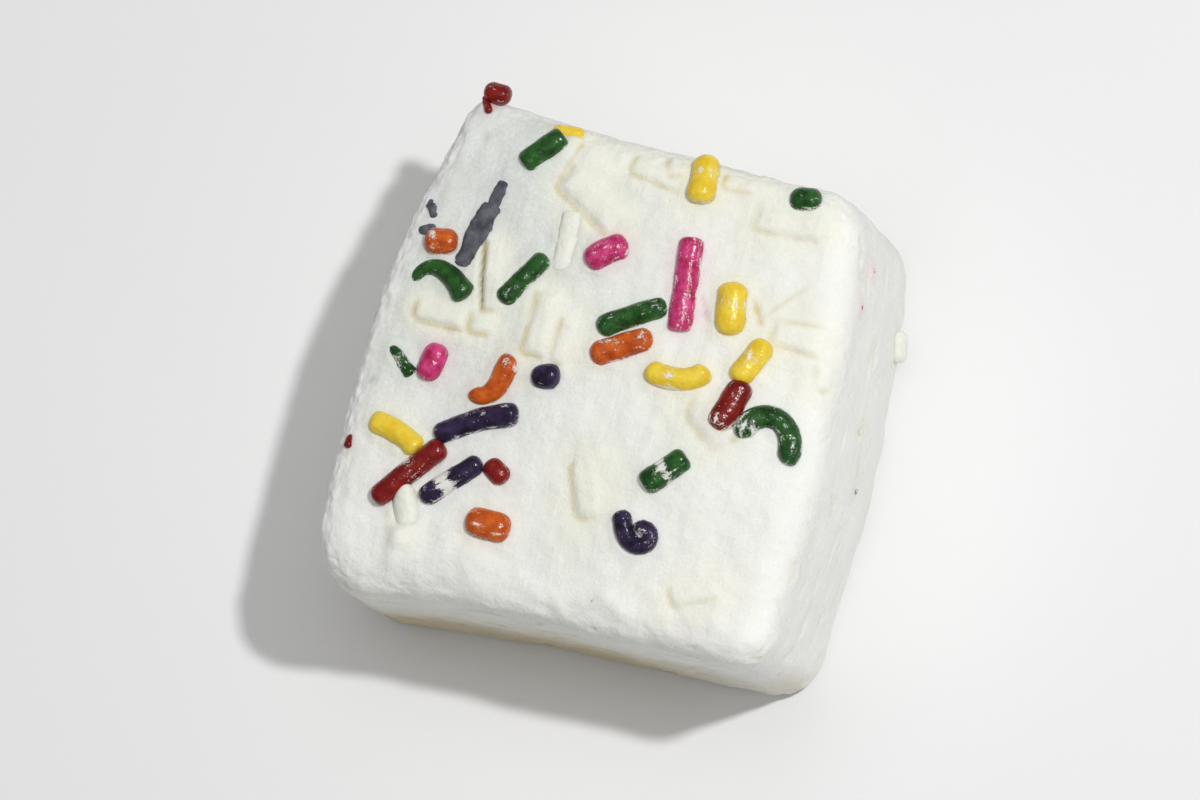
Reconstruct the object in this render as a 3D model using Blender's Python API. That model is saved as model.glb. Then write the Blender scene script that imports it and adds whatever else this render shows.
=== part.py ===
"""A square cut marshmallow, lying flat on its base with the topped face up.

Units are metres and +Z is up. The origin is at the centre of the base. The piece was
cut from a poured slab, so its top and base are flat faces with soft edges, its four
cut sides lean and bow a little, and no two corners are alike.
"""

import math

import bmesh
import bpy
from mathutils import Vector, noise

MM = 0.001

# Driving dimensions: the outside of the finished piece.
WIDTH = 41.0 * MM
DEPTH = 42.4 * MM
THICKNESS = 21.4 * MM

# How far each corner of the top face and of the base stands in from the corner of the
# outside box, along X and along Y. The corners run left front, right front, right
# back, left back, with the front on the -Y side.
TOP_INSETS = ((0.8 * MM, 0.0 * MM), (0.9 * MM, 0.6 * MM), (2.4 * MM, 1.5 * MM), (3.6 * MM, -0.2 * MM))
BASE_INSETS = ((0.0 * MM, 0.0 * MM), (0.4 * MM, 1.2 * MM), (1.4 * MM, 1.2 * MM), (4.9 * MM, 0.5 * MM))

# Radius of each upright corner, in the same order, and of the edges round both faces.
CORNER_RADII = (4.4 * MM, 3.3 * MM, 4.2 * MM, 2.2 * MM)
TOP_EDGE_RADIUS = 3.0 * MM
BASE_EDGE_RADIUS = 1.8 * MM

# How far the middle of each side bows out from the line between its corners.
LEFT_BOW = 2.4 * MM
RIGHT_BOW = 1.4 * MM
FRONT_BOW = -0.5 * MM
BACK_BOW = -0.7 * MM

# The top face is a little crowned, and the foam is uneven all over but on its base.
CROWN = 0.6 * MM
UNEVEN_DEPTH = 0.45 * MM
UNEVEN_SPAN = 11.0 * MM
UNEVEN_FADE = 3.0 * MM
UNEVEN_START = Vector((3.7, 1.9, 6.1))
# Where the swells along X, Y and Z are read, so far apart that no two are alike.
UNEVEN_APART = (Vector((0.0, 0.0, 0.0)), Vector((31.4, 0.0, 0.0)), Vector((0.0, 47.2, 0.0)))

# Cells along the width, the depth and the thickness, and how far they crowd towards the
# edges, from 0 for even cells to 1 for a full sine.
CELLS = (32, 34, 18)
CROWDING = 0.6

FOAM_COLOUR = (0.80, 0.80, 0.74, 1.0)
FOAM_ROUGHNESS = 0.75


def clear_scene():
    """Remove every object that the new file starts with."""
    for item in list(bpy.data.objects):
        bpy.data.objects.remove(item, do_unlink=True)


def blend(start, end, share):
    """Return the value a share of the way from start to end."""
    return start + (end - start) * share


def round_corner(across, along, radius):
    """Bend the square corner of a quarter cell into a quarter round.

    The two values are distances in from two faces that meet. Points within the radius
    of both faces slide inwards, so that squares about the centre become circles.
    """
    reach_across = radius - across
    reach_along = radius - along
    if reach_across <= 0.0 or reach_along <= 0.0:
        return across, along
    square = max(reach_across, reach_along)
    shrink = square / math.hypot(reach_across, reach_along)
    return radius - reach_across * shrink, radius - reach_along * shrink


def round_face_edge(x, y, z):
    """Round the long edges between the faces and the sides of the plain block."""
    inset = min(WIDTH / 2 - abs(x), DEPTH / 2 - abs(y))
    if z > THICKNESS / 2:
        moved, depth = round_corner(inset, THICKNESS - z, TOP_EDGE_RADIUS)
        height = THICKNESS - depth
    else:
        moved, height = round_corner(inset, z, BASE_EDGE_RADIUS)
    if moved > inset:
        x *= (WIDTH / 2 - moved) / (WIDTH / 2 - inset)
        y *= (DEPTH / 2 - moved) / (DEPTH / 2 - inset)
    return x, y, height


def corner_number(x, y):
    """Return the number of the corner whose quarter of the plan holds this point."""
    if y < 0.0:
        return 0 if x < 0.0 else 1
    return 2 if x > 0.0 else 3


def round_upright_edge(x, y):
    """Round the four upright corners of the plan, each by its own radius."""
    radius = CORNER_RADII[corner_number(x, y)]
    in_x, in_y = round_corner(WIDTH / 2 - abs(x), DEPTH / 2 - abs(y), radius)
    return math.copysign(WIDTH / 2 - in_x, x), math.copysign(DEPTH / 2 - in_y, y)


def plan_corner(number, height_share):
    """Return where a corner of the plan stands, between its base and its top place."""
    side_x = (-1, 1, 1, -1)[number]
    side_y = (-1, -1, 1, 1)[number]
    inset_x = blend(BASE_INSETS[number][0], TOP_INSETS[number][0], height_share)
    inset_y = blend(BASE_INSETS[number][1], TOP_INSETS[number][1], height_share)
    return Vector((side_x * (WIDTH / 2 - inset_x), side_y * (DEPTH / 2 - inset_y)))


def lean_and_bow(x, y, z):
    """Move a point of the rounded block to the uneven four-sided plan."""
    share_x = 0.5 + x / WIDTH
    share_y = 0.5 + y / DEPTH
    height_share = z / THICKNESS
    front = plan_corner(0, height_share).lerp(plan_corner(1, height_share), share_x)
    back = plan_corner(3, height_share).lerp(plan_corner(2, height_share), share_x)
    plan = front.lerp(back, share_y)
    arch_x = 4 * share_x * (1 - share_x)
    arch_y = 4 * share_y * (1 - share_y)
    plan.x += arch_y * (share_x * RIGHT_BOW - (1 - share_x) * LEFT_BOW)
    plan.y += arch_x * (share_y * BACK_BOW - (1 - share_y) * FRONT_BOW)
    crown = CROWN * arch_x * arch_y * height_share
    return Vector((plan.x, plan.y, z + crown))


def uneven(point):
    """Push a point about by the slow swell of hand-cut foam, but not at the base."""
    fade = min(1.0, point.z / UNEVEN_FADE)
    place = point / UNEVEN_SPAN + UNEVEN_START
    push = Vector(noise.noise(place + apart) for apart in UNEVEN_APART)
    return point + push * (UNEVEN_DEPTH * fade)


def crowd(share):
    """Move a place between -0.5 and 0.5 outwards, so that cells are finest at the edges."""
    return blend(share, math.sin(math.pi * share) / 2, CROWDING)


def foam_point(corner):
    """Return where a point of the unit cube stands on the marshmallow."""
    x = crowd(corner.x) * WIDTH
    y = crowd(corner.y) * DEPTH
    z = (crowd(corner.z) + 0.5) * THICKNESS
    x, y, z = round_face_edge(x, y, z)
    x, y = round_upright_edge(x, y)
    return uneven(lean_and_bow(x, y, z))


def gridded_cube(cells):
    """Return a unit cube as a bmesh, its edges cut into cells along each axis."""
    bm = bmesh.new()
    bmesh.ops.create_cube(bm, size=1.0)
    for axis, count in enumerate(cells):
        along = [
            edge
            for edge in bm.edges
            if abs(edge.verts[0].co[axis] - edge.verts[1].co[axis]) > 0.5
        ]
        bmesh.ops.subdivide_edges(bm, edges=along, cuts=count - 1, use_grid_fill=True)
    return bm


def fit_to_box(bm):
    """Stretch the mesh by a hair so that it fills the driving dimensions exactly."""
    low = Vector(min(vert.co[axis] for vert in bm.verts) for axis in range(3))
    high = Vector(max(vert.co[axis] for vert in bm.verts) for axis in range(3))
    middle = (low + high) / 2
    size = high - low
    stretch = Vector((WIDTH / size.x, DEPTH / size.y, THICKNESS / size.z))
    bmesh.ops.translate(bm, verts=bm.verts, vec=(-middle.x, -middle.y, -low.z))
    bmesh.ops.scale(bm, verts=bm.verts, vec=stretch)


def foam_material():
    """Return the dusted white foam's material."""
    material = bpy.data.materials.new("marshmallow_foam")
    material.use_nodes = True
    shader = material.node_tree.nodes["Principled BSDF"]
    shader.inputs["Base Color"].default_value = FOAM_COLOUR
    shader.inputs["Roughness"].default_value = FOAM_ROUGHNESS
    shader.inputs["Metallic"].default_value = 0.0
    return material


def make_marshmallow():
    """Make the marshmallow: one solid piece of foam."""
    bm = gridded_cube(CELLS)
    for vert in bm.verts:
        vert.co = foam_point(vert.co)
    fit_to_box(bm)
    bmesh.ops.recalc_face_normals(bm, faces=bm.faces)
    mesh = bpy.data.meshes.new("marshmallow")
    bm.to_mesh(mesh)
    bm.free()
    mesh.shade_smooth()
    mesh.materials.append(foam_material())
    marshmallow = bpy.data.objects.new("marshmallow", mesh)
    bpy.context.scene.collection.objects.link(marshmallow)
    return marshmallow


clear_scene()
make_marshmallow()
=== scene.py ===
"""The dressed model of a hand-cut square marshmallow with sugar sprinkles in its top.

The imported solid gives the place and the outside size. The foam is built again over it
with its fine relief, and the sprinkles are pressed into it. Each class works in
millimetres in the part's own frame, and a mesh is scaled to metres when it is finished.
"""

import logging
import math
from dataclasses import dataclass
from enum import Enum
from functools import partial
from typing import Any

import bmesh
import bpy
from mathutils import Matrix, Vector, noise
from mathutils.bvhtree import BVHTree
from mathutils.kdtree import KDTree


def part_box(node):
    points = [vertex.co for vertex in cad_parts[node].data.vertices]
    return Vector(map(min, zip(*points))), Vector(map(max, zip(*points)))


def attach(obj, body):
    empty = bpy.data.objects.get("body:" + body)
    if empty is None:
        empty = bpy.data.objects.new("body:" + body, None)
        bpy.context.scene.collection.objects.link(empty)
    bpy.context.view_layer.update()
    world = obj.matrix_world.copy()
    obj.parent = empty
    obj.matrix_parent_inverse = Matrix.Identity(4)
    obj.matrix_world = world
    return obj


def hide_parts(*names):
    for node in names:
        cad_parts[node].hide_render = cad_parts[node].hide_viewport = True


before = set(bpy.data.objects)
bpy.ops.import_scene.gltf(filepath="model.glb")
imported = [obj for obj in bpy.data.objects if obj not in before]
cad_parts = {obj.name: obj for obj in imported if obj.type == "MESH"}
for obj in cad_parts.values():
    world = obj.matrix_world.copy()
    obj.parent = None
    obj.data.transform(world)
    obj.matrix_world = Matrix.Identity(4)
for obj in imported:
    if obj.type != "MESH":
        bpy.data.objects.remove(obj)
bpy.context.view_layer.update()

LOG = logging.getLogger("marshmallow")
MM = 0.001
NODE = "marshmallow"
UP = Vector((0.0, 0.0, 1.0))
WHITE = (1.0, 1.0, 1.0, 1.0)

Colour = tuple[float, float, float, float]
Triple = tuple[float, float, float]
Socket = bpy.types.NodeSocket


# ---------------------------------------------------------------- small sums


def blend(start: float, end: float, share: float) -> float:
    """Return the value a share of the way from start to end."""
    return start + (end - start) * share


def ease(low: float, high: float, value: float) -> float:
    """Return 0 below low and 1 above high, with a smooth step between them."""
    share = min(1.0, max(0.0, (value - low) / (high - low)))
    return share * share * (3.0 - 2.0 * share)


def bell(distance: float, width: float) -> float:
    """Return 1 at no distance, falling off as a bell of the given width."""
    return math.exp(-((distance / width) ** 2))


def near_bell(distance: float, width: float) -> float:
    """Return the bell, or 0 where it has fallen to almost nothing."""
    return bell(distance, width) if distance < 3 * width else 0.0


def linear(level: int) -> float:
    """Return a screen's level from 0 to 255 as light, by the standard curve of screens."""
    share = level / 255.0
    return share / 12.92 if share <= 0.04045 else ((share + 0.055) / 1.055) ** 2.4


def paint(red: int, green: int, blue: int) -> Colour:
    """Return the shader's colour for one given as a screen's levels."""
    return linear(red), linear(green), linear(blue), 1.0


@dataclass(frozen=True)
class Swell:
    """A gentle rise and fall, by its height, its span and how far up the noise it is read."""

    height: float
    span: float
    start: float = 0.0

    def at(self, point: Vector) -> float:
        """Return the height at a point."""
        return self.height * noise.noise(point / self.span + UP * self.start)


# ---------------------------------------------------------------- shader sums


@dataclass(frozen=True)
class Grain:
    """Cloudy noise in a finish, by the size of its blobs, its layers and their roughness."""

    size: float
    layers: float = 2.0
    rough: float = 0.5


class Signal:
    """A number on its way through a shader, which adds Math nodes as it is used."""

    def __init__(self, graph: "Graph", socket: Socket) -> None:
        """Keep the graph and the socket that gives the number."""
        self.graph = graph
        self.socket = socket

    def join(self, operation: str, first: Any, second: Any, clamp: bool = False) -> "Signal":
        """Add one Math node.

        Args:
            operation: The node's operation.
            first: The first number or signal.
            second: The second number or signal.
            clamp: Whether the result is held between 0 and 1.

        Returns:
            The node's result.
        """
        settings = {"operation": operation, "use_clamp": clamp}
        made = self.graph.node("ShaderNodeMath", settings, {0: first, 1: second})
        return Signal(self.graph, made.outputs[0])

    def __add__(self, other: Any) -> "Signal":
        """Return the sum."""
        return self.join("ADD", self, other)

    def __radd__(self, other: Any) -> "Signal":
        """Return the sum."""
        return self.join("ADD", other, self)

    def __sub__(self, other: Any) -> "Signal":
        """Return the difference."""
        return self.join("SUBTRACT", self, other)

    def __rsub__(self, other: Any) -> "Signal":
        """Return the difference the other way round."""
        return self.join("SUBTRACT", other, self)

    def __mul__(self, other: Any) -> "Signal":
        """Return the product."""
        return self.join("MULTIPLY", self, other)

    def __rmul__(self, other: Any) -> "Signal":
        """Return the product."""
        return self.join("MULTIPLY", other, self)

    def between(self, low: float, high: float) -> "Signal":
        """Return 0 at low and 1 at high, in a straight line and held outside them."""
        return self.join("MULTIPLY", self - low, 1.0 / (high - low), clamp=True)

    def swing(self, contrast: float) -> "Signal":
        """Return noise from 0 to 1 as a swing to both sides of nothing."""
        return (self - 0.5) * contrast


class Graph:
    """The nodes of one material, with the principled shader at their end."""

    # A Mix node's own numbers for its colour sockets.
    COLOUR_FACTOR = 0
    COLOUR_A = 6
    COLOUR_B = 7
    COLOUR_RESULT = 2

    def __init__(self, name: str) -> None:
        """Start a material that holds only its shader and its output.

        Args:
            name: The material's name.
        """
        self.material = bpy.data.materials.new(name)
        self.material.use_nodes = True
        self.tree = self.material.node_tree
        self.shader = self.tree.nodes["Principled BSDF"]

    def feed(self, socket: Socket, value: Any) -> None:
        """Give a socket its value.

        Args:
            socket: The socket.
            value: A signal or a socket, which is linked, or a plain value, which is set.
        """
        source = value.socket if isinstance(value, Signal) else value
        if isinstance(source, bpy.types.NodeSocket):
            self.tree.links.new(source, socket)
        else:
            socket.default_value = source

    def node(
        self, kind: str, settings: dict[str, Any], inputs: dict[Any, Any]
    ) -> bpy.types.Node:
        """Add one node.

        Args:
            kind: The node's type.
            settings: Its properties, which are set first.
            inputs: The values or links of its sockets, by name or number.

        Returns:
            The new node.
        """
        made = self.tree.nodes.new(kind)
        for name, value in settings.items():
            setattr(made, name, value)
        for name, value in inputs.items():
            self.feed(made.inputs[name], value)
        return made

    def place(self) -> Socket:
        """Return the surface point in the piece's own frame, in millimetres."""
        inputs = {0: self.node("ShaderNodeTexCoord", {}, {}).outputs["Object"], "Scale": 1 / MM}
        return self.node("ShaderNodeVectorMath", {"operation": "SCALE"}, inputs).outputs["Vector"]

    def stretched(self, point: Socket, sizes: Triple) -> Socket:
        """Divide a point by a size along each axis, to draw a pattern out along the largest."""
        made = self.node("ShaderNodeVectorMath", {"operation": "DIVIDE"}, {0: point, 1: sizes})
        return made.outputs["Vector"]

    def grain(self, point: Socket, grain: Grain) -> Signal:
        """Return cloudy noise from 0 to 1 whose blobs are like the grain's."""
        inputs = {
            "Vector": point,
            "Scale": 1.0 / grain.size,
            "Detail": grain.layers,
            "Roughness": grain.rough,
        }
        return Signal(self, self.node("ShaderNodeTexNoise", {}, inputs).outputs["Fac"])

    def cells(self, point: Socket, size: float) -> Signal:
        """Return the distance to the nearest of many scattered points, over their spacing."""
        inputs = {"Vector": point, "Scale": 1.0 / size}
        return Signal(
            self, self.node("ShaderNodeTexVoronoi", {"feature": "F1"}, inputs).outputs["Distance"]
        )

    def attribute(self, name: str) -> bpy.types.Node:
        """Return the node that reads a value kept on the mesh."""
        return self.node("ShaderNodeAttribute", {"attribute_name": name}, {})

    def amount(self, name: str) -> Signal:
        """Return a number kept on the mesh."""
        return Signal(self, self.attribute(name).outputs["Fac"])

    def mix(self, share: Any, first: Any, second: Any, how: str = "MIX") -> Socket:
        """Mix two colours.

        Args:
            share: How much of the second colour there is.
            first: The first colour or link.
            second: The second colour or link.
            how: The way of mixing them.

        Returns:
            The mixed colour.
        """
        inputs = {self.COLOUR_FACTOR: share, self.COLOUR_A: first, self.COLOUR_B: second}
        made = self.node("ShaderNodeMix", {"data_type": "RGBA", "blend_type": how}, inputs)
        return made.outputs[self.COLOUR_RESULT]

    def bump(self, height: Signal) -> None:
        """Raise the surface by a height in millimetres."""
        made = self.node("ShaderNodeBump", {}, {"Height": height, "Distance": MM, "Strength": 1.0})
        self.tree.links.new(made.outputs["Normal"], self.shader.inputs["Normal"])

    def dress(self, values: dict[str, Any]) -> None:
        """Set or link the shader's own sockets by name."""
        for name, value in values.items():
            self.feed(self.shader.inputs[name], value)


# ---------------------------------------------------------------- finishes


@dataclass(frozen=True)
class FoamFinish:
    """Matte white foam, greyer under painted shade and brighter under loose starch and painted
    light.

    Heights and spans are in millimetres. A contrast is how far noise moves the edge of
    the painted shade or of the starch. The last four fields name values kept on the mesh.
    """

    foam: Colour = paint(237, 238, 230)
    # Painted shade: the top greyer and darker towards the left and the back, where the light falls
    # off.
    thin: Colour = paint(212, 216, 212)
    # The white of loose starch, also used for painted light on the front-right corner.
    starch: Colour = paint(249, 249, 246)
    roughness: float = 0.62
    starch_roughness: float = 0.85
    shine: float = 0.3
    glow: float = 0.35
    glow_reach: float = 1.2
    glow_colours: Triple = (1.0, 0.95, 0.8)
    clouds: Grain = Grain(2.6, 4.0, 0.65)
    specks: Grain = Grain(0.3, 2.0, 0.6)
    painted_shade_contrast: float = 0.9
    cloud_contrast: float = 0.8
    speck_contrast: float = 0.9
    wiping: Triple = (0.42, 5.5, 3.0)
    wiped_height: float = 0.05
    crumbs: Grain = Grain(0.24, 3.0, 0.65)
    crumb_height: float = 0.06
    pore_spacing: float = 0.62
    pore_width: float = 0.32
    pore_depth: float = 0.05
    lumps: Grain = Grain(0.9, 3.0, 0.55)
    lump_height: float = 0.10
    tint: str = "tint"
    skin: str = "skin"
    painted_shade: str = "thin"
    dusted: str = "starch"

    def material(self) -> bpy.types.Material:
        """Make the foam's material.

        Returns:
            The material.
        """
        graph = Graph("foam")
        point = graph.place()
        skin = graph.amount(self.skin)
        clouds = graph.grain(point, self.clouds)
        specks = graph.grain(point, self.specks)
        shade_amount = graph.amount(self.painted_shade)
        amount = graph.amount(self.dusted)
        painted_shade = (shade_amount + clouds.swing(self.painted_shade_contrast)).between(0.0, 1.0)
        dust = amount + clouds.swing(self.cloud_contrast) + specks.swing(self.speck_contrast)
        dust = dust.between(0.0, 1.0)
        # The foam is mixed with the grey of the painted shade, then with starch and painted light.
        dusted = graph.mix(dust, graph.mix(painted_shade, self.foam, self.thin), self.starch)
        tinted = graph.mix(1.0, dusted, graph.attribute(self.tint).outputs["Color"], "MULTIPLY")
        wiped = graph.grain(graph.stretched(point, self.wiping), Grain(1.0))
        crumbs = graph.grain(point, self.crumbs)
        pores = graph.cells(point, self.pore_spacing).between(0.0, self.pore_width)
        height = (
            crumbs * self.crumb_height
            + skin * wiped * self.wiped_height
            + (1.0 - skin) * (pores * self.pore_depth + crumbs * self.crumb_height)
            + graph.grain(point, self.lumps) * self.lump_height
        )
        graph.bump(height)
        graph.dress(
            {
                "Base Color": tinted,
                "Roughness": self.roughness + dust * (self.starch_roughness - self.roughness),
                "Subsurface Weight": self.glow,
                "Subsurface Radius": self.glow_colours,
                "Subsurface Scale": self.glow_reach * MM,
                "Specular IOR Level": self.shine,
            }
        )
        return graph.material


@dataclass(frozen=True)
class GlazeFinish:
    """Shiny coloured sugar, speckled with starch and painted highlight by an amount kept on the
    mesh.

    Smears run along the rod and specks lie anywhere, and each has its weight in where
    the white shows, which it does from the first to the second of powder_edge.
    """

    name: str
    sugar: Colour
    deep: Colour
    # The white of starch, also used as painted highlight.
    powder_and_highlight: Colour = paint(238, 238, 231)
    roughness: float = 0.27
    powder_roughness: float = 0.8
    shine: float = 0.5
    glow: float = 0.0
    glow_reach: float = 1.0
    glow_colours: Triple = (1.0, 0.9, 0.7)
    smearing: Triple = (1.3, 0.5, 1.0)
    smears: Grain = Grain(1.0, 3.0, 0.6)
    smear_weight: float = 0.65
    specks: Grain = Grain(0.16, 2.0, 0.7)
    speck_weight: float = 0.35
    dust_contrast: float = 0.5
    powder_edge: tuple[float, float] = (0.57, 0.66)
    powder_cover: float = 0.9
    powder_height: float = 0.03
    depths: Grain = Grain(1.1, 3.0, 0.6)
    depth_edge: tuple[float, float] = (0.35, 0.65)
    lumps: Grain = Grain(0.6, 2.0, 0.5)
    lump_height: float = 0.12
    dust: str = "dust"
    rod: str = "rod"

    def material(self) -> bpy.types.Material:
        """Make the glaze's material.

        Returns:
            The material.
        """
        graph = Graph(self.name)
        point = graph.place()
        along = graph.attribute(self.rod).outputs["Vector"]
        amount = graph.amount(self.dust)
        smears = graph.grain(graph.stretched(along, self.smearing), self.smears)
        specks = graph.grain(point, self.specks)
        cover = smears * self.smear_weight + specks * self.speck_weight
        cover = cover + amount.swing(self.dust_contrast)
        powder_and_highlight = cover.between(*self.powder_edge)
        depth = graph.grain(point, self.depths).between(*self.depth_edge)
        sugar = graph.mix(depth, self.deep, self.sugar)
        height = graph.grain(point, self.lumps) * self.lump_height + powder_and_highlight * self.powder_height
        graph.bump(height)
        graph.dress(
            {
                "Base Color": graph.mix(powder_and_highlight * self.powder_cover, sugar, self.powder_and_highlight),
                "Roughness": self.roughness + powder_and_highlight * (self.powder_roughness - self.roughness),
                "Specular IOR Level": self.shine,
                "Subsurface Weight": self.glow,
                "Subsurface Radius": self.glow_colours,
                "Subsurface Scale": self.glow_reach * MM,
            }
        )
        return graph.material


@dataclass(frozen=True)
class FloorFinish:
    """The plain pale studio floor, with faint clouds in it."""

    colour: Colour = paint(239, 239, 239)
    cloud: Colour = (0.6, 0.6, 0.6, 1.0)
    clouds: Grain = Grain(60.0)
    cloud_edge: tuple[float, float] = (0.2, 0.8)
    cloud_share: float = 0.04
    roughness: float = 0.7
    shine: float = 0.2

    def material(self) -> bpy.types.Material:
        """Make the floor's material.

        Returns:
            The material.
        """
        graph = Graph("studio_floor")
        cloud = graph.grain(graph.place(), self.clouds).between(*self.cloud_edge)
        shade = graph.mix(cloud * self.cloud_share, self.colour, self.cloud)
        graph.dress(
            {"Base Color": shade, "Roughness": self.roughness, "Specular IOR Level": self.shine}
        )
        return graph.material


# ---------------------------------------------------------------- sprinkles


class Face(Enum):
    """A face of the block, by the way it looks and the way its first measure runs."""

    TOP = ((0, 0, 1), (1, 0, 0))
    RIGHT = ((1, 0, 0), (0, 1, 0))
    BACK = ((0, 1, 0), (-1, 0, 0))
    LEFT = ((-1, 0, 0), (0, -1, 0))

    @property
    def outward(self) -> Vector:
        """The way the face looks."""
        return Vector(self.value[0])

    @property
    def across(self) -> Vector:
        """The way the first measure runs."""
        return Vector(self.value[1])

    @property
    def along(self) -> Vector:
        """The way the second measure runs."""
        return self.outward.cross(self.across)


@dataclass(frozen=True)
class Seat:
    """The spot on the foam that a sprinkle is pressed into, with its own three axes."""

    origin: Vector
    ahead: Vector
    side: Vector
    up: Vector

    def at(self, ahead: float, side: float, up: float) -> Vector:
        """Return a point measured from the seat along its own axes."""
        return self.origin + self.ahead * ahead + self.side * side + self.up * up


@dataclass(frozen=True)
class Cover:
    """The thin skin of foam over a buried sprinkle, drawn away from it along two sides."""

    seat: Seat
    length: float
    width: float
    crest: float
    corner: float

    # How high the skin's foot stands, how far it runs out, how deep and wide the groove
    # is where the foam has drawn away, and how wide the painted shadow line along it is.
    FOOT = 0.05
    FOOT_RUN = 0.9
    GROOVE_DEPTH = 0.05
    GROOVE_WIDTH = 0.25
    SEAM_SHADOW_WIDTH = 0.22
    # Where the skin climbs to its crest and where it opens, as shares of the half width.
    CLIMB = (0.0, 0.6)
    OPENING = (-0.34, -0.12)
    # The side away from the key light, where the foam has drawn away and a shadow line is
    # painted, and how squarely an edge has to face it.
    SHADOW_SIDE = Vector((-0.8, -0.6, 0.0))
    FACING = (-0.2, 0.7)
    # The painted shadow line comes and goes by this noise.
    SEAM_SHADOW_BREAKS = Swell(1.0, 1.3, 50.0)
    SEAM_SHADOW_SHOWN = (-0.9, 0.3)
    # How far inside the outline a point counts as inside, how far the sugar seeps out,
    # and how far away nothing of the skin is left.
    INSIDE = (0.0, 0.3)
    SEEPAGE = 2.2
    REACH = 4.0

    def gap(self, point: Vector) -> tuple[float, float]:
        """Measure from the sprinkle's outline, which is an oblong with rounded corners.

        Args:
            point: A point of the foam.

        Returns:
            How far outside the outline it is, less than 0 inside, and how much that side
            faces away from the key light, where the foam has drawn away.
        """
        away = point - self.seat.origin
        ahead = away.dot(self.seat.ahead)
        side = away.dot(self.seat.side)
        past_end = abs(ahead) - self.length / 2 + self.corner
        past_side = abs(side) - self.width / 2 + self.corner
        out_ahead = max(0.0, past_end)
        out_side = max(0.0, past_side)
        gap = math.hypot(out_ahead, out_side) + min(0.0, max(past_end, past_side)) - self.corner
        facing = self.seat.ahead * math.copysign(out_ahead, ahead)
        facing += self.seat.side * math.copysign(out_side, side)
        return gap, ease(*self.FACING, facing.normalized().dot(self.SHADOW_SIDE))

    def skin(self, point: Vector) -> tuple[float, float, float, float]:
        """Work out the skin over one point.

        Args:
            point: A point of the foam.

        Returns:
            The skin's height, how much of the painted shadow line shows, how far the point
            is inside the outline, and how much sugar has seeped out to it, the last three from 0
            to 1.
        """
        gap, bare = self.gap(point)
        if gap > self.REACH:
            return 0.0, 0.0, 0.0, 0.0
        share = gap / (self.width / 2)
        cover = self.FOOT * bell(max(0.0, gap), self.FOOT_RUN)
        cover += (self.crest - self.FOOT) * ease(*self.CLIMB, -share)
        groove = -self.GROOVE_DEPTH * bell(gap, self.GROOVE_WIDTH)
        height = blend(cover, blend(cover, groove, ease(*self.OPENING, share)), bare)
        # Painted shadow line along the side away from the key light.
        seam_shadow = bare * bell(gap, self.SEAM_SHADOW_WIDTH)
        seam_shadow *= ease(*self.SEAM_SHADOW_SHOWN, self.SEAM_SHADOW_BREAKS.at(point))
        return height, seam_shadow, ease(*self.INSIDE, -gap), bell(max(0.0, gap), self.SEEPAGE)


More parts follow.
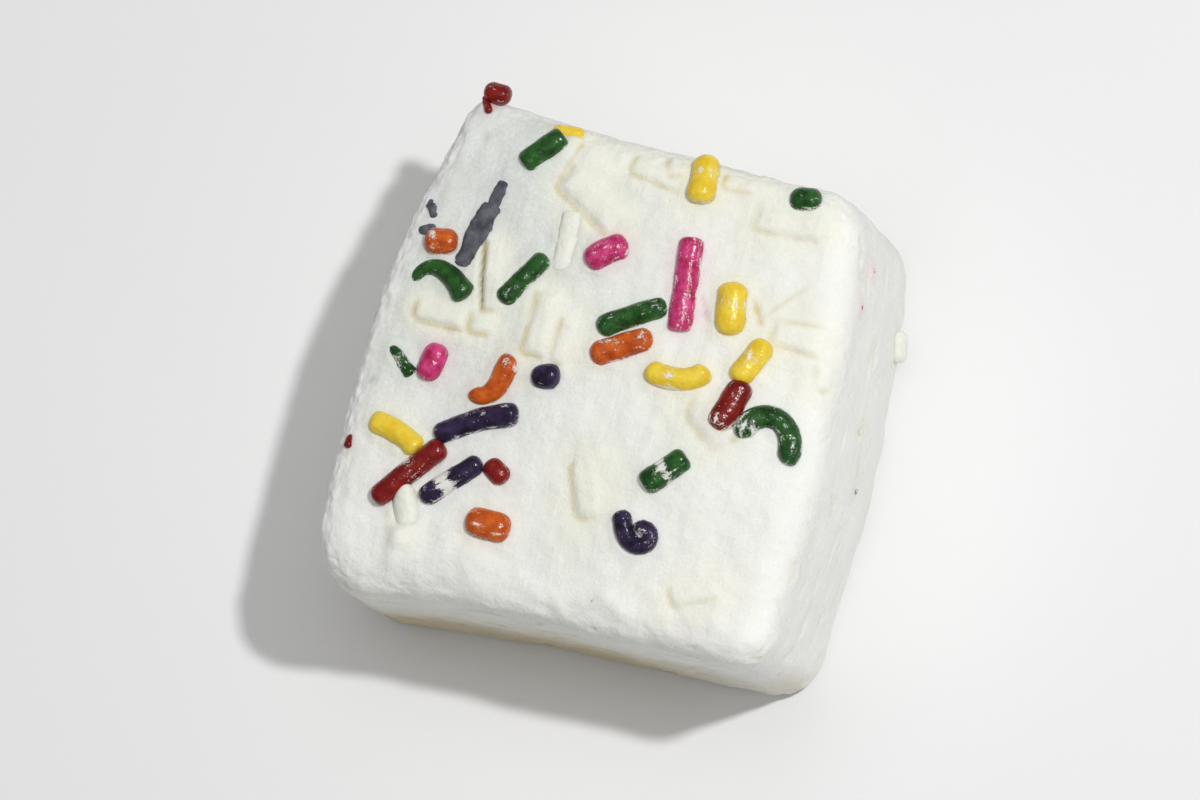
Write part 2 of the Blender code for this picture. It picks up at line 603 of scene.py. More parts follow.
@dataclass(frozen=True)
class Sprinkle:
    """One rod or pellet of sugar.

    Across and along give its middle on its face, heading the way it lies in degrees,
    and turn how much it curls over its length, to the left where positive. Skew moves
    the curl towards its end. Rise is the height of its middle line over the foam, and
    end is how round its ends are, both as shares of its radius. Taper widens it towards
    its end, as a share of its width. Patch is where a white patch lies on it, partly
    starch that has stuck to it and partly painted highlight, from -1 at its start to 1 at
    its end, and clump how much; any other number leaves it out. Film is how much starch
    creeps up its foot. Corner is how round its outline shows through the foam, in
    millimetres, where the sprinkle is buried and the foam closes over it.
    """

    across: float
    along: float
    heading: float
    length: float
    width: float
    turn: float = 0.0
    skew: float = 0.0
    rise: float = 0.05
    pitch: float = 0.0
    # The white on the sugar, partly starch and partly painted highlight.
    dust: float = 0.40
    end: float = 0.8
    flat: float = 0.9
    ragged: float = 0.04
    taper: float = 0.0
    patch: float = 9.0
    clump: float = 0.25
    film: float = 0.3
    corner: float = 0.5
    buried: bool = False
    face: Face = Face.TOP

    # Flats round the rod, steps along its middle line, cuts in the round of its ends, and
    # the spacing of its rings over its radius.
    SIDES = 20
    STEPS = 24
    END_CUTS = 5
    RING = 0.4
    # The most of its half length that an end may take up, the length over its radius that
    # has rings, and how near an edge comes to that length where it runs along the rod.
    MOST_END = 0.96
    SHORTEST = 0.3
    ALONG = 0.9
    # How much deeper a buried sprinkle lies, and the foam over it.
    SKIN = 0.2
    COVER = 0.11
    # The height and span of each of the lumps in the sugar.
    LUMPS = ((2.0, 1.6), (1.0, 0.6), (0.6, 0.28))
    FILM_REACH = 0.6
    PATCH_WIDTH = 0.22
    # How far apart the smears of two sprinkles are read.
    SMEARS_APART = 9.0
    # From how far out the foam is looked for, along the face's way and past its rim.
    FAR = 100.0
    NEAR = 20.0

    @property
    def radius(self) -> float:
        """Half of the rod's width."""
        return self.width / 2

    @property
    def lift(self) -> float:
        """The height of the middle line over the foam, which is lower under a skin."""
        return self.rise * self.radius - (self.SKIN if self.buried else 0.0)

    def seat(self, foam: BVHTree) -> Seat:
        """Find where the sprinkle sits.

        Args:
            foam: The smooth surface of the block.

        Returns:
            The seat, with its axes along, beside and out of the foam.
        """
        outward = self.face.outward
        over = self.face.across * self.across + self.face.along * self.along
        hit, normal, _, _ = foam.ray_cast(over + outward * self.FAR, -outward)
        if hit is None:
            hit, normal, _, _ = foam.find_nearest(over + outward * self.NEAR)
        angle = math.radians(self.heading)
        wanted = self.face.across * math.cos(angle) + self.face.along * math.sin(angle)
        ahead = (wanted - normal * wanted.dot(normal)).normalized()
        side = normal.cross(ahead)
        tilt = Matrix.Rotation(-math.radians(self.pitch), 3, side)
        return Seat(hit + normal * self.lift, tilt @ ahead, side, tilt @ normal)

    def cover(self, foam: BVHTree) -> Cover:
        """Return the skin of foam over the sprinkle, where it is buried."""
        crest = self.radius * (self.flat + self.rise) + self.COVER
        return Cover(self.seat(foam), self.length, self.width, crest, self.corner)

    def route(self) -> list[Triple]:
        """Work out the rod's middle line in its own plane.

        Returns:
            Places ahead and to the side, each with the line's direction there, with the
            line's middle at the origin and its ends level along the heading.
        """
        step = self.length / self.STEPS
        ahead = side = 0.0
        line = [(0.0, 0.0)]
        ways = []
        for number in range(self.STEPS):
            share = (number + 0.5) / self.STEPS - 0.5
            way = math.radians(self.turn) * (share + self.skew * (share * share - 0.25))
            ahead += step * math.cos(way)
            side += step * math.sin(way)
            line.append((ahead, side))
            ways.append(way)
        ways.append(ways[-1])
        lean = math.atan2(side, ahead)
        cosine = math.cos(lean)
        sine = math.sin(lean)
        middle_ahead = sum(place[0] for place in line) / len(line)
        middle_side = sum(place[1] for place in line) / len(line)
        turned = []
        for (place_ahead, place_side), way in zip(line, ways):
            from_ahead = place_ahead - middle_ahead
            from_side = place_side - middle_side
            level_ahead = from_ahead * cosine + from_side * sine
            level_side = from_side * cosine - from_ahead * sine
            turned.append((level_ahead, level_side, way - lean))
        return turned

    def middle_line(self, foam: BVHTree) -> list[Vector]:
        """Place points along the rod's middle, clear of its round ends.

        Args:
            foam: The smooth surface of the block.

        Returns:
            The points.
        """
        seat = self.seat(foam)
        reach = self.length / 2 - self.radius
        line = []
        for place, (ahead, side, _) in enumerate(self.route()):
            run = self.length * (place / self.STEPS - 0.5)
            if abs(run) <= max(reach, self.length / self.STEPS):
                line.append(seat.at(ahead, side, 0.0))
        return line

    @staticmethod
    def rise_of(edge: bmesh.types.BMEdge) -> float:
        """Return how far an edge rises."""
        return abs(edge.verts[0].co.z - edge.verts[1].co.z)

    def rod(self) -> bmesh.types.BMesh:
        """Make a straight rod of radius 1 about Z, with bevelled ends and even rings.

        Returns:
            Its mesh.
        """
        bm = bmesh.new()
        depth = self.length / self.radius
        sizes = {"radius1": 1.0, "radius2": 1.0, "depth": depth}
        bmesh.ops.create_cone(bm, cap_ends=True, segments=self.SIDES, **sizes)
        rims = [edge for edge in bm.edges if self.rise_of(edge) < depth / 2]
        offset = min(self.end, depth / 2 * self.MOST_END)
        bmesh.ops.bevel(
            bm,
            geom=rims,
            offset=offset,
            offset_type="OFFSET",
            segments=self.END_CUTS,
            profile=0.5,
            affect="EDGES",
            material=-1,
        )
        straight = depth - 2 * offset
        if straight > self.SHORTEST:
            cuts = max(1, round(straight / self.RING))
            sides = [edge for edge in bm.edges if self.rise_of(edge) > straight * self.ALONG]
            bmesh.ops.subdivide_edges(bm, edges=sides, cuts=cuts, use_grid_fill=True)
        return bm

    def build(self, foam: BVHTree) -> bmesh.types.BMesh:
        """Make the sprinkle in its place.

        Args:
            foam: The smooth surface of the block.

        Returns:
            Its mesh in millimetres.
        """
        bm = self.rod()
        dust = bm.verts.layers.float.new("dust")
        rod = bm.verts.layers.float_vector.new("rod")
        seat = self.seat(foam)
        line = self.route()
        seed = Vector((self.across, self.along, self.length))
        apart = seed.length * self.SMEARS_APART
        for vert in bm.verts:
            run = (vert.co.z * self.radius / self.length + 0.5) * self.STEPS
            place = min(self.STEPS - 1, max(0, int(run)))
            ahead, side, way = (
                blend(start, end, run - place) for start, end in zip(line[place], line[place + 1])
            )
            spot = vert.co * self.radius
            lump = sum(high * noise.noise(spot / span + seed) for high, span in self.LUMPS)
            reach = 2.0 * spot.z / self.length
            swell = (1.0 + self.ragged * lump) * (1.0 + self.taper * reach / 2)
            out = spot.x * swell
            height = spot.y * swell * self.flat
            film = self.film * (1.0 - ease(0.0, self.FILM_REACH, height + self.rise * self.radius))
            vert[dust] = self.dust + film + self.clump * bell(reach - self.patch, self.PATCH_WIDTH)
            vert[rod] = Vector((spot.z, self.radius * math.atan2(spot.x, spot.y), apart))
            vert.co = seat.at(ahead - math.sin(way) * out, side + math.cos(way) * out, height)
        return bm


class Sugar(Enum):
    """The sprinkles' colours, by name."""

    GREEN = "green"
    ORANGE = "orange"
    PINK = "pink"
    YELLOW = "yellow"
    RED = "red"
    PURPLE = "purple"
    SLATE = "slate"
    WHITE = "white"


GLAZES: dict[Sugar, GlazeFinish] = {
    Sugar.GREEN: GlazeFinish("green_sugar", paint(46, 94, 40), paint(19, 56, 16)),
    Sugar.ORANGE: GlazeFinish("orange_sugar", paint(210, 100, 28), paint(168, 62, 8)),
    Sugar.PINK: GlazeFinish("pink_sugar", paint(214, 70, 132), paint(166, 22, 76)),
    Sugar.YELLOW: GlazeFinish("yellow_sugar", paint(243, 213, 72), paint(229, 193, 42)),
    Sugar.RED: GlazeFinish("red_sugar", paint(134, 28, 22), paint(106, 11, 10)),
    Sugar.PURPLE: GlazeFinish("purple_sugar", paint(54, 40, 74), paint(24, 16, 36)),
    Sugar.SLATE: GlazeFinish(
        "slate_sugar", paint(104, 106, 112), paint(62, 63, 71), roughness=0.75
    ),
    Sugar.WHITE: GlazeFinish(
        "white_sugar",
        paint(236, 237, 226),
        paint(233, 234, 221),
        powder_and_highlight=paint(216, 219, 212),
        roughness=0.6,
        glow=0.35,
    ),
}

# How much red, green and blue each sugar takes out of the foam that it bleeds into.
BLEED: dict[Sugar, Vector] = {
    Sugar.GREEN: Vector((0.04, 0.015, 0.03)),
    Sugar.ORANGE: Vector((0.0, 0.05, 0.08)),
    Sugar.PINK: Vector((0.0, 0.10, 0.05)),
    Sugar.YELLOW: Vector((0.0, 0.02, 0.10)),
    Sugar.RED: Vector((0.02, 0.07, 0.06)),
    Sugar.PURPLE: Vector((0.04, 0.05, 0.02)),
    Sugar.SLATE: Vector((0.04, 0.04, 0.03)),
    Sugar.WHITE: Vector((0.006, 0.014, 0.06)),
}

# Sprinkles of a kind share these measures, though a row may still change one: a flat
# streak of smeared sugar, a crumb of it, a lump that tapers like a fingertip, a speck of
# colour on a cut side, a sprinkle that the knife has cut through, and one that the foam
# has closed over, whose dust lessens with each millimetre towards the right.
smear = partial(Sprinkle, flat=0.2, ragged=0.16, dust=0.2, film=0.0)
crumb = partial(Sprinkle, ragged=0.4, dust=0.3, film=0.1)
fingertip = partial(
    crumb, rise=-0.35, pitch=22, taper=-0.85, end=1.0, ragged=0.05, dust=0.25
)
speck = partial(Sprinkle, ragged=0.14)
cut = partial(Sprinkle, rise=-0.1, flat=0.5, dust=0.2)
buried = partial(
    Sprinkle, rise=-0.2, flat=0.31, end=1.0, ragged=0.02, corner=0.55, film=0.0, buried=True
)
SUNK_DUST = 0.5
SUNK_DUST_LOSS = 0.012


def sunk(
    across: float, along: float, heading: float, length: float, width: float, **shape: float
) -> Sprinkle:
    """Return a sprinkle that the foam has closed over, with less dust farther right."""
    dust = SUNK_DUST - SUNK_DUST_LOSS * across
    return buried(across, along, heading, length, width, dust=dust, **shape)


def placements() -> dict[Sugar, tuple[Sprinkle, ...]]:
    """Set out every sprinkle one by one, as they fell.

    Returns:
        The sprinkles by their colour.
    """
    return {
        Sugar.GREEN: (
            Sprinkle(-9.0, 17.5, 49, 4.1, 1.95, end=0.5),
            Sprinkle(-7.8, 6.6, 58, 5.3, 1.75, dust=0.46),
            Sprinkle(-14.55, 5.3, -7, 6.2, 1.6, turn=-142, skew=-1.4, taper=0.9),
            Sprinkle(13.3, 17.9, 8, 2.6, 2.1),
            Sprinkle(1.8, 5.4, 31, 6.0, 1.9, turn=-8, dust=0.44),
            Sprinkle(7.75, -6.5, 46, 4.2, 2.1, end=0.5, dust=0.44, patch=0.0, clump=0.45),
            Sprinkle(15.4, -1.5, -18, 8.0, 1.95, turn=-218, skew=-0.35, dust=0.5, patch=-0.8),
            Sprinkle(-16.2, -2.05, -40, 3.1, 1.1, ragged=0.16, rise=0.0, taper=0.7, dust=0.43),
            speck(-2.7, 8.0, 20, 0.7, 0.55, face=Face.RIGHT),
            speck(-6.0, 13.5, 70, 0.8, 0.6, face=Face.BACK),
        ),
        Sugar.ORANGE: (
            Sprinkle(-15.4, 8.25, 10, 2.8, 2.3, dust=0.44, patch=-0.45),
            Sprinkle(1.6, 2.8, 30, 5.3, 2.1, dust=0.52),
            Sprinkle(-8.0, -2.2, 50, 5.4, 1.75, turn=105, skew=-2.4, taper=0.35, patch=0.8),
            Sprinkle(-5.6, -13.8, -3, 3.8, 2.5, dust=0.5),
        ),
        Sugar.PINK: (
            Sprinkle(-1.6, 10.2, 38, 3.8, 2.3, dust=0.54),
            Sprinkle(5.5, 8.9, 96, 7.8, 2.1, end=0.5, dust=0.5),
            Sprinkle(-13.6, -1.65, 78, 3.2, 2.15),
            speck(14.5, 14.0, 60, 0.7, 0.5, face=Face.RIGHT),
            speck(10.8, 17.0, 10, 0.6, 0.5, face=Face.RIGHT),
            speck(3.5, 15.0, 30, 0.7, 0.5, face=Face.LEFT),
        ),
        Sugar.YELLOW: (
            Sprinkle(4.75, 17.75, 97, 4.4, 2.35, dust=0.42, patch=0.1, taper=-0.12),
            Sprinkle(9.7, 7.7, 99, 4.4, 2.55, dust=0.4, patch=0.1),
            Sprinkle(6.75, 1.4, 10, 5.5, 1.95, turn=78, skew=0.5, dust=0.42, patch=-0.2),
            Sprinkle(12.4, 3.8, 65, 4.2, 2.1, dust=0.42, patch=0.2),
            Sprinkle(-15.1, -8.0, -20, 4.9, 1.95, turn=-29, end=0.6),
            Sprinkle(-7.55, 19.5, 10, 2.6, 1.25, rise=-0.1, film=0.1),
        ),
        Sugar.RED: (
            Sprinkle(14.3, 19.3, 0, 2.3, 1.9, rise=1.15, face=Face.BACK),
            Sprinkle(14.8, 19.9, 112, 2.0, 0.6, rise=1.5, ragged=0.12, face=Face.BACK),
            Sprinkle(-13.1, -11.0, 51, 7.3, 1.95, rise=0.4, patch=0.1),
            Sprinkle(11.6, -0.1, 72, 4.6, 2.25, dust=0.45, patch=-0.8),
            Sprinkle(-6.0, -9.4, -32, 2.3, 1.8),
            Sprinkle(-18.9, -9.4, 100, 1.2, 0.9, ragged=0.2, film=0.1),
        ),
        Sugar.PURPLE: (
            Sprinkle(-8.7, -5.8, 25, 7.3, 1.95, turn=-28, skew=1.1, taper=0.1, dust=0.46),
            Sprinkle(-3.9, -0.9, 12, 2.4, 2.1, ragged=0.07),
            Sprinkle(-9.5, -10.9, 44, 5.9, 1.85, dust=0.44, patch=-0.2, clump=0.55),
            Sprinkle(6.45, -11.9, -40, 6.3, 1.65, turn=314, skew=1.4, dust=0.44, patch=0.9),
        ),
        Sugar.SLATE: (
            smear(-11.85, 12.6, 80, 3.4, 1.0, taper=-0.3, end=0.7),
            smear(-12.45, 10.4, 79, 3.6, 1.75, flat=0.15, end=0.5),
            smear(-12.9, 8.8, 82, 4.0, 1.6, flat=0.17, end=0.6),
            smear(-11.8, 11.3, 60, 1.6, 0.8, ragged=0.4),
            smear(-13.3, 7.3, 75, 1.4, 1.0, ragged=0.4, dust=0.3),
            crumb(-16.9, 10.7, -50, 1.4, 0.6),
            crumb(-17.4, 11.3, 60, 0.8, 0.6, ragged=0.3),
            crumb(-16.9, 9.1, 12, 1.5, 0.75),
            Sprinkle(4.4, -17.8, 70, 0.7, 0.4, ragged=0.16, rise=-0.1, dust=0.6),
        ),
        Sugar.WHITE: (
            sunk(-4.5, 16.5, 72, 4.2, 4.2, flat=0.23),
            sunk(-3.9, 14.3, -31, 6.2, 3.0, flat=0.40),
            cut(-5.15, 10.4, 92, 5.1, 1.7, end=0.4, dust=0.4, film=0.1),
            sunk(0.9, 17.6, -12, 4.8, 2.0, flat=0.24),
            sunk(2.3, 18.5, 100, 2.2, 1.8, flat=0.36),
            sunk(12.6, 15.6, 2, 5.8, 2.1),
            sunk(7.8, 18.1, 5, 2.9, 1.6),
            sunk(-13.8, 2.35, -2, 4.8, 1.95, flat=0.36),
            sunk(-10.35, 2.35, 3, 2.2, 2.0, flat=0.36),
            sunk(-10.45, 6.4, 101, 6.0, 1.6),
            sunk(-5.35, 3.3, 89, 5.6, 2.2, flat=0.36),
            sunk(-3.2, 2.3, 86, 4.0, 1.5),
            sunk(15.6, 6.5, -3, 4.4, 2.1, flat=0.28),
            sunk(18.3, 3.9, 100, 2.2, 1.8),
            sunk(1.7, -9.2, 110, 5.0, 2.6, corner=1.0),
            sunk(10.4, -1.8, -42, 4.8, 2.8, corner=1.4),
            fingertip(-12.45, -14.55, 106, 6.0, 2.6),
            sunk(12.4, -15.6, 25, 4.2, 1.7),
            Sprinkle(10.6, 3.0, 15, 2.7, 1.8, rise=0.2, ragged=0.1, dust=0.3, face=Face.RIGHT),
            cut(-0.9, 9.0, 25, 1.9, 0.7, face=Face.RIGHT),
            cut(2.3, 10.0, 20, 1.6, 0.6, face=Face.RIGHT),
            cut(5.0, 9.5, -30, 2.4, 1.6, dust=0.3, face=Face.BACK),
            cut(-9.0, 6.0, 40, 1.8, 0.8, face=Face.BACK),
            cut(-7.5, 8.5, 15, 2.2, 1.5, dust=0.4, face=Face.LEFT),
        ),
    }


@dataclass
class SprinkleSet:
    """All the sprinkles of one colour, as one piece."""

    sugar: Sugar
    sprinkles: tuple[Sprinkle, ...]
    foam: BVHTree

    def build(self) -> bpy.types.Object:
        """Join the sprinkles in one mesh, each with its own share of white, partly starch and
        partly painted highlight.

        Returns:
            The finished piece.
        """
        joined = bmesh.new()
        scratch = bpy.data.meshes.new("scratch")
        for sprinkle in self.sprinkles:
            one = sprinkle.build(self.foam)
            one.to_mesh(scratch)
            one.free()
            joined.from_mesh(scratch)
        bpy.data.meshes.remove(scratch)
        glaze = GLAZES[self.sugar]
        piece = finished(joined, f"{self.sugar.value}_sprinkles", glaze.material())
        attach(piece, "root")
        return piece

    def covers(self) -> list[Cover]:
        """Return the skins of foam over the buried ones."""
        return [one.cover(self.foam) for one in self.sprinkles if one.buried]


class SprinkleMap:
    """Finds the bare sprinkle that is nearest to a point of the foam."""

    def __init__(self, sets: list[SprinkleSet]) -> None:
        """Put points along the middle of every bare sprinkle in a tree.

        Args:
            sets: The sprinkles by colour.
        """
        points = []
        self.owners = []
        for each in sets:
            for sprinkle in each.sprinkles:
                if not sprinkle.buried:
                    line = sprinkle.middle_line(each.foam)
                    points += line
                    self.owners += [(each.sugar, sprinkle.radius)] * len(line)
        self.tree = KDTree(len(points))
        for number, point in enumerate(points):
            self.tree.insert(point, number)
        self.tree.balance()

    def nearest(self, point: Vector) -> tuple[Sugar, float]:
        """Look for the nearest sprinkle.

        Args:
            point: A point of the foam.

        Returns:
            The sprinkle's sugar and the gap to its side.
        """
        _, number, away = self.tree.find(point)
        sugar, radius = self.owners[number]
        return sugar, away - radius


def finished(
    bm: bmesh.types.BMesh, name: str, material: bpy.types.Material
) -> bpy.types.Object:
    """Turn a mesh in millimetres into a smooth piece at the origin.

    Args:
        bm: The mesh, which is used up.
        name: The piece's name.
        material: Its finish.

    Returns:
        The piece.
    """
    bmesh.ops.scale(bm, verts=bm.verts, vec=(MM, MM, MM))
    bmesh.ops.recalc_face_normals(bm, faces=bm.faces)
    mesh = bpy.data.meshes.new(name)
    bm.to_mesh(mesh)
    bm.free()
    mesh.shade_smooth()
    mesh.materials.append(material)
    piece = bpy.data.objects.new(name, mesh)
    bpy.context.scene.collection.objects.link(piece)
    return piece


# ---------------------------------------------------------------- the block


@dataclass(frozen=True)
class Corner:
    """One upright corner: how far it stands in from the box at each face, and its radius."""

    side: tuple[int, int]
    top_inset: tuple[float, float]
    base_inset: tuple[float, float]
    radius: float


@dataclass
class BlockForm:
    """The block's smooth form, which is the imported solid's.

    Low and high are the corners of its box. A bow is how far the middle of a side stands
    out from the line between its corners. The unevenness is a slow swell, read in three
    places of the noise for its three directions, and it fades out towards the base.
    """

    low: Vector
    high: Vector
    corners: tuple[Corner, ...] = (
        Corner((-1, -1), (0.8, 0.0), (0.0, 0.0), 4.4),
        Corner((1, -1), (0.9, 0.6), (0.4, 1.2), 3.3),
        Corner((1, 1), (2.4, 1.5), (1.4, 1.2), 4.2),
        Corner((-1, 1), (3.6, -0.2), (4.9, 0.5), 2.2),
    )
    top_edge: float = 3.0
    base_edge: float = 1.8
    left_bow: float = 2.4
    right_bow: float = 1.4
    front_bow: float = -0.5
    back_bow: float = -0.7
    crown: float = 0.6
    uneven_depth: float = 0.45
    uneven_span: float = 11.0
    uneven_fade: float = 3.0
    uneven_start: Triple = (3.7, 1.9, 6.1)
    uneven_apart: tuple[Triple, ...] = (
        (0.0, 0.0, 0.0),
        (31.4, 0.0, 0.0),
        (0.0, 47.2, 0.0),
    )
    cell: float = 0.245
    flatness: float = 1e-5

    @property
    def size(self) -> Vector:
        """The block's width, depth and thickness."""
        return self.high - self.low

    @staticmethod
    def rounded(across: float, along: float, radius: float) -> tuple[float, float]:
        """Bend the square corner of a quarter cell into a quarter round.

        Args:
            across: The distance in from the first of two faces that meet.
            along: The distance in from the second.
            radius: The corner's radius.

        Returns:
            Both distances for the point's place on the round.
        """
        reach_across = radius - across
        reach_along = radius - along
        if reach_across <= 0.0 or reach_along <= 0.0:
            return across, along
        shrink = max(reach_across, reach_along) / math.hypot(reach_across, reach_along)
        return radius - reach_across * shrink, radius - reach_along * shrink

    def corner_at(self, x: float, y: float) -> Corner:
        """Return the corner whose quarter of the plan holds this point."""
        number = (0 if x < 0.0 else 1) if y < 0.0 else (2 if x > 0.0 else 3)
        return self.corners[number]

    def plan_corner(self, corner: Corner, height_share: float) -> Vector:
        """Find where a corner of the plan stands at a height.

        Args:
            corner: The corner.
            height_share: The height, from 0 at the base to 1 at the top.

        Returns:
            Its place in the plan.
        """
        inset_x = blend(corner.base_inset[0], corner.top_inset[0], height_share)
        inset_y = blend(corner.base_inset[1], corner.top_inset[1], height_share)
        x = corner.side[0] * (self.size.x / 2 - inset_x)
        return Vector((x, corner.side[1] * (self.size.y / 2 - inset_y)))

    def round_off(self, share: Vector) -> Triple:
        """Round all twelve edges of the plain block.

        Args:
            share: The point on a unit cube about the origin.

        Returns:
            Its place on the rounded block.
        """
        size = self.size
        x = share.x * size.x
        y = share.y * size.y
        z = (share.z + 0.5) * size.z
        inset = min(size.x / 2 - abs(x), size.y / 2 - abs(y))
        if z > size.z / 2:
            moved, depth = self.rounded(inset, size.z - z, self.top_edge)
            z = size.z - depth
        else:
            moved, z = self.rounded(inset, z, self.base_edge)
        if moved > inset:
            x *= (size.x / 2 - moved) / (size.x / 2 - inset)
            y *= (size.y / 2 - moved) / (size.y / 2 - inset)
        radius = self.corner_at(x, y).radius
        in_x, in_y = self.rounded(size.x / 2 - abs(x), size.y / 2 - abs(y), radius)
        return math.copysign(size.x / 2 - in_x, x), math.copysign(size.y / 2 - in_y, y), z

    def lean(self, x: float, y: float, z: float) -> Vector:
        """Move a point of the rounded block to the uneven four-sided plan.

        Args:
            x: Its place across.
            y: Its place along.
            z: Its height.

        Returns:
            Its new place, with the top crowned.
        """
        share_x = 0.5 + x / self.size.x
        share_y = 0.5 + y / self.size.y
        share_z = z / self.size.z
        left_front, right_front, right_back, left_back = (
            self.plan_corner(corner, share_z) for corner in self.corners
        )
        front = left_front.lerp(right_front, share_x)
        back = left_back.lerp(right_back, share_x)
        plan = front.lerp(back, share_y)
        arch_x = 4 * share_x * (1 - share_x)
        arch_y = 4 * share_y * (1 - share_y)
        plan.x += arch_y * (share_x * self.right_bow - (1 - share_x) * self.left_bow)
        plan.y += arch_x * (share_y * self.back_bow - (1 - share_y) * self.front_bow)
        return Vector((plan.x, plan.y, z + self.crown * arch_x * arch_y * share_z))

    def uneven(self, point: Vector) -> Vector:
        """Push a point about by the slow swell of hand-cut foam.

        Args:
            point: A point of the leaning block.

        Returns:
            Its place on the smooth foam.
        """
        fade = min(1.0, point.z / self.uneven_fade)
        place = point / self.uneven_span + Vector(self.uneven_start)
        push = Vector(noise.noise(place + Vector(apart)) for apart in self.uneven_apart)
        return point + push * (self.uneven_depth * fade)

    def smooth_mesh(self) -> bmesh.types.BMesh:
        """Cut a cube into even cells, shape it and fit it to its box.

        Returns:
            The block's smooth mesh, in millimetres.
        """
        bm = bmesh.new()
        bmesh.ops.create_cube(bm, size=1.0)
        for axis in range(3):
            along = [
                edge
                for edge in bm.edges
                if abs(edge.verts[0].co[axis] - edge.verts[1].co[axis]) > 0.5
            ]
            cuts = round(self.size[axis] / self.cell) - 1
            bmesh.ops.subdivide_edges(bm, edges=along, cuts=cuts, use_grid_fill=True)
        for vert in bm.verts:
            vert.co = self.uneven(self.lean(*self.round_off(vert.co)))
        lowest = Vector(min(vert.co[axis] for vert in bm.verts) for axis in range(3))
        highest = Vector(max(vert.co[axis] for vert in bm.verts) for axis in range(3))
        found = highest - lowest
        stretch = Vector(self.size[axis] / found[axis] for axis in range(3))
        bmesh.ops.translate(bm, verts=bm.verts, vec=-lowest)
        bmesh.ops.scale(bm, verts=bm.verts, vec=stretch)
        bmesh.ops.translate(bm, verts=bm.verts, vec=self.low)
        bm.normal_update()
        return bm

    def join_base(self, bm: bmesh.types.BMesh) -> None:
        """Make one flat face of the cells that the block rests on.

        Args:
            bm: The block's mesh.
        """
        level = self.low.z + self.flatness
        flat = [face for face in bm.faces if all(vert.co.z < level for vert in face.verts)]
        bmesh.ops.dissolve_faces(bm, faces=flat, use_verts=False)


# ---------------------------------------------------------------- the foam's skin


@dataclass(frozen=True)
class Bump:
    """A soft lump in the foam over something buried, or a dimple where height is negative."""

    across: float
    along: float
    height: float
    radius: float

    def rise(self, point: Vector) -> float:
        """Return how much it lifts the foam at a point."""
        away = (point.xy - Vector((self.across, self.along))).length
        return self.height * near_bell(away, self.radius)


@dataclass(frozen=True)
class Crease:
    """A fine cut between two points of the top, with the painted shade it takes out of the tint.
    """

    start: tuple[float, float]
    end: tuple[float, float]
    depth: float
    width: float
    shade: Triple = (0.9, 0.92, 1.0)

    # The cut runs out towards its ends, but not to nothing.
    ENDS = (0.02, 0.98)

    def dip(self, point: Vector) -> float:
        """Find how deep the cut is.

        Args:
            point: A point of the foam.

        Returns:
            The depth there.
        """
        start = Vector(self.start)
        run = Vector(self.end) - start
        share = min(1.0, max(0.0, (point.xy - start).dot(run) / run.length_squared))
        away = (point.xy - start - run * share).length
        held = min(self.ENDS[1], max(self.ENDS[0], share))
        return self.depth * bell(away, self.width) * math.sin(math.pi * held)


@dataclass(frozen=True)
class Darkening:
    """A round darkening of the foam, used for stains and for painted shadows, by how much red,
    green and blue it takes out at its middle.
    """

    across: float
    along: float
    radius: float
    loss: Triple

    def shade(self, point: Vector) -> Vector:
        """Return what it takes out at a point."""
        away = math.hypot(point.x - self.across, point.y - self.along)
        return Vector(self.loss) * near_bell(away, self.radius)


